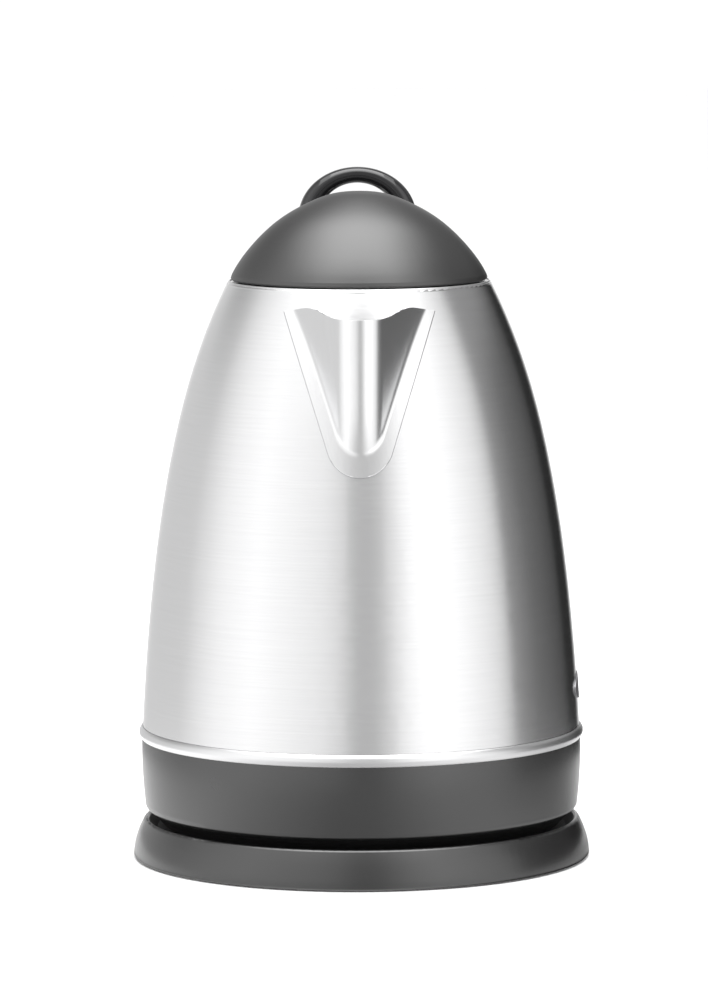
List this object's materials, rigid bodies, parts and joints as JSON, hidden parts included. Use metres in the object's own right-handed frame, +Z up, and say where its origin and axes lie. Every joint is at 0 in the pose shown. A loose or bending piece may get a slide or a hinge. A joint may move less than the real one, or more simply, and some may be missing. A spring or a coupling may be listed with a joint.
{
  "type": "electric kettle",
  "caption": "Cordless electric kettle: brushed steel jug with a V spout, domed black lid with finger loop, rear C handle, black skirt, and a flared power base.",
  "frame": {"origin": "on the kettle's turning axis, at the surface the base stands on", "axes": "+Z up, -Y towards the spout, +Y towards the handle, +X to the right seen from the spout side"},
  "size_m": [0.1654, 0.2161, 0.2481],
  "materials": {
    "brushed_steel": "fine circumferential brushing, satin",
    "pressed_steel": "fine vertical brushing, satin",
    "bright_steel": "polished steel trim",
    "plain_steel": "plain rolled steel",
    "screw_steel": "zinc plated",
    "satin_black": "satin dark grey-black polypropylene",
    "gloss_black": "gloss black",
    "inner_black": "matt black",
    "inner_grey": "matt light grey thermoset",
    "silicone": "translucent grey silicone",
    "foot_rubber": "matt black rubber",
    "aluminium": "as rolled",
    "brass": "bright",
    "bimetal": "dull",
    "lamp_glass": "small neon glow lamp",
    "lens_clear": "clear amber lens"
  },
  "bodies": {
    "power_base": {"base_shell": "satin_black", "base_plate": "inner_black", "base_feet": "foot_rubber", "base_screws": "screw_steel", "base_turret": "inner_black", "turret_contacts": "brass", "cord_gland": "foot_rubber"},
    "connector": {"socket_cup": "inner_black", "socket_pins": "brass"},
    "kettle": {"skirt": "satin_black", "skirt_floor": "inner_black", "floor_screws": "screw_steel", "rim_band": "bright_steel", "heater_plate": "plain_steel", "heat_spreader": "aluminium", "heating_element": "plain_steel", "control_housing": "inner_grey", "bimetal_discs": "bimetal", "jug": "brushed_steel", "spout": "pressed_steel", "spout_strainer": "plain_steel", "side_plate": "bright_steel", "mouth_collar": "inner_black", "handle_shell": "satin_black", "handle_cover": "satin_black", "handle_screws": "screw_steel", "handle_bracket": "plain_steel", "steam_tube": "inner_grey", "tail_housing": "satin_black", "switch_pin": "plain_steel", "steam_disc": "bimetal", "steam_carrier": "inner_grey", "lamp": "lamp_glass", "lamp_lens": "lens_clear", "hinge_pin": "plain_steel"},
    "lid": {"lid_dome": "satin_black", "lid_liner": "inner_black", "lid_seal": "silicone", "lid_loop": "gloss_black", "loop_screws": "screw_steel"},
    "switch": {"switch_lever": "gloss_black"},
    "push_rod": {"switch_rod": "inner_grey"}
  },
  "joints": [
    {"name": "kettle_lift", "type": "slide", "parent": "power_base", "child": "connector", "axis": [0, 0, 1], "range_m": [0, 0.09]},
    {"name": "kettle_spin", "type": "hinge", "parent": "connector", "child": "kettle", "pos_m": [0, 0, 0.0334], "axis": [0, 0, 1], "continuous": true},
    {"name": "lid_hinge", "type": "hinge", "parent": "kettle", "child": "lid", "pos_m": [0, 0.0535, 0.2135], "axis": [-1, 0, 0], "range_deg": [0, 75]},
    {"name": "switch_press", "type": "hinge", "parent": "kettle", "child": "switch", "pos_m": [0, 0.095, 0.032], "axis": [-1, 0, 0], "range_deg": [0, 14]},
    {"name": "rod_push", "type": "slide", "parent": "kettle", "child": "push_rod", "axis": [0, -1, 0], "range_m": [0, 0.0024]}
  ],
  "couplings": [
    {"joint": "rod_push", "follows": "switch_press", "m_per_rad": 0.0098}
  ]
}
